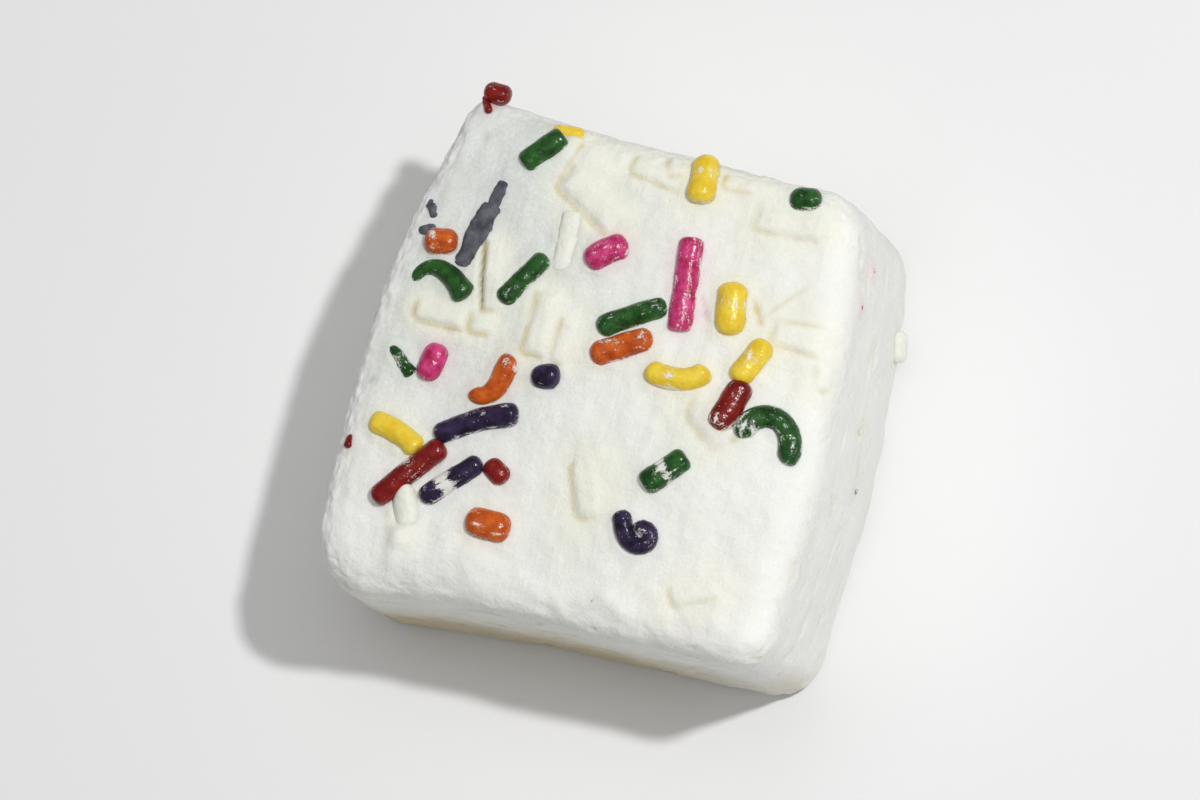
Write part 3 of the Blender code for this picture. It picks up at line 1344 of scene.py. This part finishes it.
@dataclass(frozen=True)
class FoamSkin:
    """The foam's own surface: its fine relief, its marks, the starch that lies on it, and the
    shade and light painted on it.

    A share runs from 0 to 1. Places and heights are in millimetres.
    """

    bumps: tuple[Bump, ...] = (
        Bump(-6.3, -16.8, 0.35, 1.2),
        Bump(-8.8, -16.6, 0.2, 1.1),
        Bump(-12.7, -16.8, 0.45, 0.9),
        Bump(-12.8, -18.0, 0.38, 0.8),
        Bump(5.3, -17.6, 0.35, 0.9),
        Bump(6.6, -18.2, 0.2, 0.7),
        Bump(14.6, -17.2, 0.2, 1.2),
        Bump(9.5, -16.9, 0.15, 0.9),
        Bump(-12.4, -16.3, 0.5, 1.3),
        Bump(-12.2, -15.6, 0.3, 0.9),
        Bump(-14.3, 17.7, -0.25, 0.5),
        Bump(-14.3, 20.9, 0.5, 1.5),
    )
    # The cuts darken the tint along them: painted shade in the cuts.
    creases: tuple[Crease, ...] = (
        Crease((-11.95, 9.4), (-11.2, 5.0), 0.55, 0.18),
        Crease((-11.5, 6.6), (-10.6, 3.0), 0.6, 0.16),
        Crease((6.8, 8.8), (8.3, 5.9), 0.12, 0.18, (1.0, 2.2, 1.8)),
        Crease((11.1, 9.2), (12.6, 6.7), 0.16, 0.2, (0.8, 1.5, 2.6)),
        Crease((12.2, 7.3), (15.7, 11.3), 0.10, 0.22, (0.8, 1.2, 2.0)),
        Crease((13.2, 7.6), (18.0, 7.9), 0.12, 0.2, (0.8, 1.2, 2.0)),
        Crease((13.0, 5.8), (18.6, 5.2), 0.05, 0.22, (0.8, 1.2, 2.0)),
    )
    stains_and_shadows: tuple[Darkening, ...] = (
        Darkening(-14.4, 20.2, 0.4, (0.10, 0.35, 0.35)),
        # A yellowish mark, with painted shade in the dimple under it.
        Darkening(-14.1, 17.6, 0.35, (0.08, 0.09, 0.16)),
        # Painted shadow under the orange pellet.
        Darkening(-16.2, 6.9, 0.7, (0.12, 0.13, 0.12)),
        Darkening(-18.1, -4.0, 0.35, (0.22, 0.19, 0.18)),
        Darkening(-18.7, -4.2, 0.3, (0.18, 0.16, 0.15)),
        # Painted shadows beside the white fingertip, on its side away from the key light.
        Darkening(-14.0, -14.6, 0.4, (0.10, 0.14, 0.22)),
        Darkening(-13.7, -15.8, 0.4, (0.06, 0.08, 0.14)),
        Darkening(6.5, 18.3, 0.3, (0.06, 0.12, 0.22)),
        Darkening(7.8, 17.8, 0.3, (0.05, 0.09, 0.18)),
        Darkening(11.7, 8.1, 0.35, (0.06, 0.12, 0.26)),
        Darkening(12.3, 7.1, 0.3, (0.08, 0.14, 0.26)),
        Darkening(7.6, 6.9, 0.35, (0.03, 0.16, 0.12)),
        Darkening(12.6, -2.7, 0.35, (0.12, 0.22, 0.30)),
        Darkening(-3.2, 3.4, 0.3, (0.02, 0.10, 0.08)),
    )
    top_swells: tuple[Swell, ...] = (Swell(0.16, 3.1), Swell(0.12, 1.4, 1.0))
    top_grit: Swell = Swell(0.06, 0.7, 5.0)
    brushed: float = 0.02
    brushed_left: float = 0.05
    side_swells: tuple[Swell, ...] = (Swell(0.14, 2.4, 9.0), Swell(0.07, 1.0))
    rim_crumbs: tuple[Swell, ...] = (Swell(0.10, 0.9, 21.0), Swell(0.10, 0.5, 33.0))
    wrinkle_drift: Swell = Swell(1.3, 4.0)
    wrinkle_depth: float = 0.22
    wrinkle_width: float = 0.07
    # Painted shade in the wrinkles of the cut sides.
    wrinkle_shade: Triple = (0.02, 0.03, 0.09)
    pit_spacing: float = 2.2
    pit_depth: float = 0.22
    pit_width: float = 0.13
    pits_left_out: float = 0.55
    # The most painted shade on the top, towards the left and the back.
    deepest_painted_shade: float = 0.8
    least_starch: float = 0.1
    most_starch: float = 0.75
    starch_clouds: Swell = Swell(0.3, 4.0, 3.0)
    # Painted shade: a warm darkening towards the base of the sides, most on the front.
    painted_base_shade: Triple = (0.33, 0.42, 0.58)

    # Spans and starts of the noise for the brush marks, for the wrinkles, which run level,
    # for the patches that they come in, and for which of the pits are left out.
    BRUSH_SPANS = (1.1, 4.0)
    BRUSH_START = 2.0
    WRINKLE_SPANS = (6.5, 1.9)
    PATCH_SPANS = (5.0, 2.5)
    PATCH_START = 40.0
    PATCH_EDGE = (-0.05, 0.3)
    PIT_LOTS = 7.3
    # Ranges of how squarely the foam looks up or to a side: where a cut side turns into the
    # top's skin, where the rim starts and ends, and where crumbs, starch, the painted light on
    # the right corner and the painted shade of the base set in.
    TOP_TURN = (0.35, 0.8)
    RIM_START = (0.1, 0.45)
    RIM_END = (0.8, 0.98)
    CRUMBLING = (0.0, 0.5)
    DUSTED_SIDE = (0.1, 0.6)
    LIT_CORNER_FACING = (0.2, 0.7)
    DUSTED_FRONT = (0.1, 0.5)
    SHADED_SIDE = (0.3, 0.8)
    # Ranges of place: towards the left for the brush marks, towards the left and the back
    # for the painted shade of the top, towards the right and the front for starch and the painted
    # light on the corner, off the middle line and down to the base, and along the front,
    # whose right end has less painted shade.
    BRUSHED = (0.0, 10.0)
    SHADE_LEFT = (-8.0, 12.0)
    SHADE_BACK = (-12.0, 6.0)
    LIT_RIGHT_CORNER = (6.0, 16.0)
    RIGHT_RIM = (10.0, 18.0)
    FRONT_RIM = (4.0, 16.0)
    OFF_MIDDLE = (2.0, 12.0)
    MIDDLE = -1.0
    TO_BASE = (-16.0, -3.0)
    TO_RIGHT_END = (4.0, 16.0)
    # What is left, in shares: crumbs off the left and on the back, painted shade of the top at the
    # front, starch on the right and on the outer parts, and painted shade of the base off the
    # front and at its end.
    LEAST_CRUMBS = 0.3
    BACK_CRUMBS = 0.7
    SHADE_FRONT = 0.35
    RIGHT_STARCH = 0.6
    OUTER_STARCH = 0.4
    BACK_SHADE = 0.35
    RIGHT_END_LOSS = 0.6

    def top_share(self, normal: Vector) -> float:
        """Return 1 on the poured top's skin and 0 on the cut sides and the base."""
        return ease(*self.TOP_TURN, normal.z)

    def top_relief(self, point: Vector) -> float:
        """Work out the wiped skin's gentle lumps, brush marks, dimples and creases.

        Args:
            point: A point of the top.

        Returns:
            The height there.
        """
        height = sum(swell.at(point) for swell in self.top_swells)
        brushed = self.brushed + self.brushed_left * ease(*self.BRUSHED, -point.x)
        across, along = self.BRUSH_SPANS
        place = Vector((point.x / across, point.y / along, self.BRUSH_START))
        height += brushed * noise.noise(place)
        height += self.top_grit.at(point)
        for bump in self.bumps:
            height += bump.rise(point)
        for crease in self.creases:
            height -= crease.dip(point)
        return height

    def wrinkle(self, point: Vector) -> float:
        """Find the level wrinkles that the knife left in patches of the cut sides.

        Args:
            point: A point of a side.

        Returns:
            How far into a wrinkle it is, from 0 to 1.
        """
        level, upright = self.WRINKLE_SPANS
        height = point.z / upright + self.wrinkle_drift.at(point)
        middle = noise.noise(Vector((point.x / level, point.y / level, height)))
        level, upright = self.PATCH_SPANS
        place = Vector((point.x / level, point.y / level, point.z / upright))
        patch = noise.noise(place + UP * self.PATCH_START)
        return bell(middle, self.wrinkle_width) * ease(*self.PATCH_EDGE, patch)

    def side_relief(self, point: Vector) -> float:
        """Work out the cut foam's puckers, wrinkles and pits.

        Args:
            point: A point of a side.

        Returns:
            The height there.
        """
        height = sum(swell.at(point) for swell in self.side_swells)
        height -= self.wrinkle_depth * self.wrinkle(point)
        away, spots = noise.voronoi(point / self.pit_spacing)
        if noise.cell(spots[0] * self.PIT_LOTS) > self.pits_left_out:
            height -= self.pit_depth * bell(away[0], self.pit_width)
        return height

    def rim_relief(self, point: Vector, normal: Vector) -> float:
        """Work out the crumbs that the knife left along the top's rim.

        Args:
            point: A point of the foam.
            normal: The way the foam looks there.

        Returns:
            The height, which is most on the left and the back.
        """
        rim = ease(*self.RIM_START, normal.z) * (1.0 - ease(*self.RIM_END, normal.z))
        left = ease(*self.CRUMBLING, -normal.x)
        back = self.BACK_CRUMBS * ease(*self.CRUMBLING, normal.y)
        crumbs = sum(swell.at(point) for swell in self.rim_crumbs)
        return rim * (self.LEAST_CRUMBS + max(left, back)) * crumbs

    def painted_shade_share(self, point: Vector) -> float:
        """Return how much painted shade lies on the top, most towards the left of the back edge.
        """
        back = blend(self.SHADE_FRONT, 1.0, ease(*self.SHADE_BACK, point.y))
        return self.deepest_painted_shade * ease(*self.SHADE_LEFT, -point.x) * back

    def starch_share(self, point: Vector, normal: Vector) -> float:
        """Find how thickly loose starch lies, with painted light on the front-right corner as
        well.

        Args:
            point: A point of the foam.
            normal: The way the foam looks there.

        Returns:
            The share, which is most on the left side and its rim.
        """
        left = ease(*self.DUSTED_SIDE, -normal.x)
        right = self.RIGHT_STARCH * ease(*self.DUSTED_SIDE, normal.x)
        # Painted light: the front-right corner made whiter, as if under starch.
        corner = ease(*self.LIT_RIGHT_CORNER, point.x) * ease(*self.LIT_CORNER_FACING, -normal.y)
        near = ease(*self.FRONT_RIM, -point.y)
        near *= ease(*self.OFF_MIDDLE, abs(point.x - self.MIDDLE))
        front = ease(*self.DUSTED_FRONT, -normal.y)
        outer = self.OUTER_STARCH * max(ease(*self.RIGHT_RIM, point.x), near, front)
        starch = self.least_starch + self.most_starch * max(left, corner, right, outer)
        return starch + self.starch_clouds.at(point)

    def top_stain_and_shade(self, point: Vector) -> Vector:
        """Add up what stains, painted shadows and the creases' painted shade take from the top's
        colour.

        Args:
            point: A point of the top.

        Returns:
            How much red, green and blue is lost.
        """
        loss = Vector((0.0, 0.0, 0.0))
        for darkening in self.stains_and_shadows:
            loss += darkening.shade(point)
        # Painted shade in the creases.
        for crease in self.creases:
            loss += Vector(crease.shade) * crease.dip(point)
        return loss

    def side_painted_shade(self, point: Vector, normal: Vector) -> Vector:
        """Add up the painted shade in the wrinkles and towards the base, taken out of the sides'
        colour.

        Args:
            point: A point of the foam.
            normal: The way the foam looks there.

        Returns:
            How much red, green and blue is lost.
        """
        side = 1.0 - self.top_share(normal)
        if side <= 0.0:
            return Vector((0.0, 0.0, 0.0))
        # Painted shade towards the base, most on the front and less at its right end.
        front = ease(*self.SHADED_SIDE, -normal.y)
        front += self.BACK_SHADE * ease(*self.SHADED_SIDE, max(normal.y, -normal.x))
        kept = 1.0 - self.RIGHT_END_LOSS * ease(*self.TO_RIGHT_END, point.x)
        base = front * ease(*self.TO_BASE, -point.z) * kept
        # Painted shade in the wrinkles.
        wrinkled = Vector(self.wrinkle_shade) * self.wrinkle(point)
        return side * (wrinkled + Vector(self.painted_base_shade) * base)


@dataclass
class Spot:
    """What one point of the foam is like: its height over the smooth form and its looks."""

    height: float
    tone: Vector
    shade_amount: float


@dataclass
class FoamBlock:
    """The marshmallow's foam, with its relief, closed round the sprinkles.

    A bare sprinkle has a lip round its foot and lets its colour bleed out. A buried one
    has a skin over it, with less of the painted shade near it, and a painted shadow line
    along its side away from the key light, stronger to the left.
    """

    form: BlockForm
    sets: list[SprinkleSet]
    skin: FoamSkin = FoamSkin()
    base_fade: float = 1.2
    lip_height: float = 0.12
    lip_place: float = 0.1
    lip_width: float = 0.5
    bleed_width: float = 0.8
    bleed_reach: float = 3.0
    # The painted shadow line: what it takes out of red, green and blue, its strength, and how much
    # it weakens with each millimetre to the right.
    seam_shadow: Triple = (0.15, 0.21, 0.34)
    seam_shadow_strength: float = 1.1
    seam_shadow_fade: float = 0.025
    shade_lifting: float = 0.9
    shade_lifting_power: int = 6

    def bare_foam(self, point: Vector, normal: Vector) -> Spot:
        """Work out the foam at a point, as if there were no sprinkles.

        Args:
            point: A point of the smooth form.
            normal: The way it looks.

        Returns:
            The foam there.
        """
        skin = self.skin
        share = skin.top_share(normal)
        height = skin.rim_relief(point, normal)
        tone = Vector((1.0, 1.0, 1.0)) - skin.side_painted_shade(point, normal)
        if share > 0.0:
            height += share * skin.top_relief(point)
            tone -= share * skin.top_stain_and_shade(point)
        if share < 1.0:
            height += (1.0 - share) * skin.side_relief(point)
        return Spot(height, tone, share * skin.painted_shade_share(point))

    def close_round(self, spot: Spot, sugar: Sugar, gap: float) -> None:
        """Raise the foam's lip round a bare sprinkle and let its colour bleed out.

        Args:
            spot: The foam at a point, which is changed.
            sugar: The sprinkle's sugar. A smear of slate is too thin for a lip.
            gap: How far the point is from the sprinkle's side.
        """
        if gap < self.bleed_reach:
            if sugar is not Sugar.SLATE:
                spot.height += self.lip_height * bell(gap - self.lip_place, self.lip_width)
            spot.tone -= BLEED[sugar] * bell(max(0.0, gap), self.bleed_width)

    def close_over(self, spot: Spot, point: Vector, covers: list[Cover]) -> None:
        """Lay the skins of all buried sprinkles over one another.

        Args:
            spot: The foam at the point, which is changed.
            point: A point of the top.
            covers: The skins, the later over the earlier.
        """
        height = seam_shadow = seeped = 0.0
        for cover in covers:
            if (point - cover.seat.origin).length <= cover.length / 2 + cover.REACH:
                raised, mark, inside, near = cover.skin(point)
                height = height + raised if raised < 0.0 else max(height, raised)
                seam_shadow = max(seam_shadow * (1.0 - inside), mark)
                seeped = max(seeped, near)
        spot.height += height
        spot.shade_amount *= 1.0 - self.shade_lifting * seeped**self.shade_lifting_power
        # The painted shadow line, stronger to the left, and the cream that has seeped out.
        strength = seam_shadow * (self.seam_shadow_strength - self.seam_shadow_fade * point.x)
        spot.tone -= Vector(self.seam_shadow) * strength + BLEED[Sugar.WHITE] * seeped

    def build(self, smooth: bmesh.types.BMesh) -> bpy.types.Object:
        """Give the smooth form its relief, stains and painted shade.

        Args:
            smooth: The smooth form, which is used up.

        Returns:
            The finished piece.
        """
        bare = SprinkleMap(self.sets)
        covers = [cover for each in self.sets for cover in each.covers()]
        tint = smooth.verts.layers.float_color.new("tint")
        skin = smooth.verts.layers.float.new("skin")
        # The amount of painted shade on the top.
        thin = smooth.verts.layers.float.new("thin")
        starch = smooth.verts.layers.float.new("starch")
        places = []
        for vert in smooth.verts:
            point = vert.co.copy()
            share = self.skin.top_share(vert.normal)
            spot = self.bare_foam(point, vert.normal)
            self.close_round(spot, *bare.nearest(point))
            if share > 0.0:
                self.close_over(spot, point, covers)
            vert[tint] = (*spot.tone, 1.0)
            vert[skin] = share
            vert[thin] = spot.shade_amount
            vert[starch] = self.skin.starch_share(point, vert.normal)
            held = spot.height * ease(0.0, self.base_fade, point.z)
            places.append(point + vert.normal * held)
        for vert, place in zip(smooth.verts, places):
            vert.co = place
        self.form.join_base(smooth)
        piece = finished(smooth, "foam", FoamFinish().material())
        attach(piece, "root")
        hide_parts(NODE)
        return piece


# ---------------------------------------------------------------- the studio


@dataclass
class Lamp:
    """A square soft box that looks at the piece, and may be kept out of its shine."""

    name: str
    toward: Vector
    distance: float
    size: float
    power: float
    mirrored: bool = True

    def build(self, target: Vector) -> bpy.types.Object:
        """Hang the lamp.

        Args:
            target: The point that it looks at, in metres.

        Returns:
            The lamp.
        """
        data = bpy.data.lights.new(self.name, type="AREA")
        data.shape = "SQUARE"
        data.size = self.size
        data.energy = self.power
        lamp = bpy.data.objects.new(self.name, data)
        way = self.toward.normalized()
        lamp.location = target + way * self.distance
        lamp.rotation_euler = (-way).to_track_quat("-Z", "Y").to_euler()
        lamp.visible_glossy = self.mirrored
        bpy.context.scene.collection.objects.link(lamp)
        return lamp


@dataclass
class Studio:
    """The pale floor, the soft lights and the camera that looks down on the top face.

    Lengths are in metres, angles in degrees and the lens and its sensor in millimetres.
    """

    floor_size: float = 6.0
    sky: float = 0.155
    azimuth: float = 58.2
    elevation: float = 73.2
    roll: float = -45.0
    distance: float = 0.641
    lens: float = 237.0
    sensor: float = 36.0
    nearest: float = 0.01
    farthest: float = 10.0
    aim: Triple = (1.0 * MM, -1.9 * MM, 0.0)
    lamps: tuple[Lamp, ...] = (
        Lamp("key", Vector((0.46, 0.22, 0.86)), 0.60, 0.032, 2.10),
        Lamp("overhead", Vector((-0.05, 0.06, 0.98)), 0.9, 1.0, 3.5, mirrored=False),
        Lamp("bounce", Vector((0.78, -0.62, 0.0)), 0.35, 0.04, 0.10, mirrored=False),
    )

    def floor(self) -> bpy.types.Object:
        """Lay the floor that the piece rests on.

        Returns:
            The floor.
        """
        bm = bmesh.new()
        bmesh.ops.create_grid(bm, x_segments=1, y_segments=1, size=self.floor_size / 2)
        mesh = bpy.data.meshes.new("floor")
        bm.to_mesh(mesh)
        bm.free()
        mesh.materials.append(FloorFinish().material())
        floor = bpy.data.objects.new("floor", mesh)
        bpy.context.scene.collection.objects.link(floor)
        return floor

    def sky_light(self) -> None:
        """Light the room evenly from all round."""
        world = bpy.data.worlds.new("studio")
        world.use_nodes = True
        background = world.node_tree.nodes["Background"]
        background.inputs["Color"].default_value = WHITE
        background.inputs["Strength"].default_value = self.sky
        bpy.context.scene.world = world
        bpy.context.scene.view_settings.view_transform = "Standard"

    def camera(self, target: Vector) -> bpy.types.Object:
        """Set the camera at its angle, turned so that the sides stand upright in the picture.

        Args:
            target: The point that it looks at, in metres.

        Returns:
            The camera.
        """
        turn = math.radians(self.azimuth)
        rise = math.radians(self.elevation)
        level = math.cos(rise)
        back = Vector((math.sin(turn) * level, -math.cos(turn) * level, math.sin(rise)))
        data = bpy.data.cameras.new("camera")
        data.lens = self.lens
        data.sensor_width = self.sensor
        data.clip_start = self.nearest
        data.clip_end = self.farthest
        camera = bpy.data.objects.new("camera", data)
        upright = (-back).to_track_quat("-Z", "Y").to_matrix()
        rolled = upright @ Matrix.Rotation(math.radians(self.roll), 3, "Z")
        camera.rotation_euler = rolled.to_euler()
        camera.location = target + back * self.distance
        bpy.context.scene.collection.objects.link(camera)
        bpy.context.scene.camera = camera
        return camera

    def build(self, top: float) -> None:
        """Set out the whole studio.

        Args:
            top: The height of the piece's top face, in metres.
        """
        target = Vector(self.aim) + UP * top
        self.floor()
        self.sky_light()
        self.camera(target)
        for lamp in self.lamps:
            lamp.build(target)


def main() -> None:
    """Build the pieces in order and set them in the studio."""
    logging.basicConfig(level=logging.INFO, format="%(name)s: %(message)s")
    low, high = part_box(NODE)
    form = BlockForm(low / MM, high / MM)
    smooth = form.smooth_mesh()
    surface = BVHTree.FromBMesh(smooth)
    sets = [SprinkleSet(sugar, rods, surface) for sugar, rods in placements().items()]
    for each in sets:
        piece = each.build()
        faces = len(piece.data.polygons)
        LOG.info("%s: %d sprinkles, %d faces", piece.name, len(each.sprinkles), faces)
    foam = FoamBlock(form, sets).build(smooth)
    LOG.info("%s: %d faces", foam.name, len(foam.data.polygons))
    Studio().build(high.z)


if __name__ == "__main__":
    main()
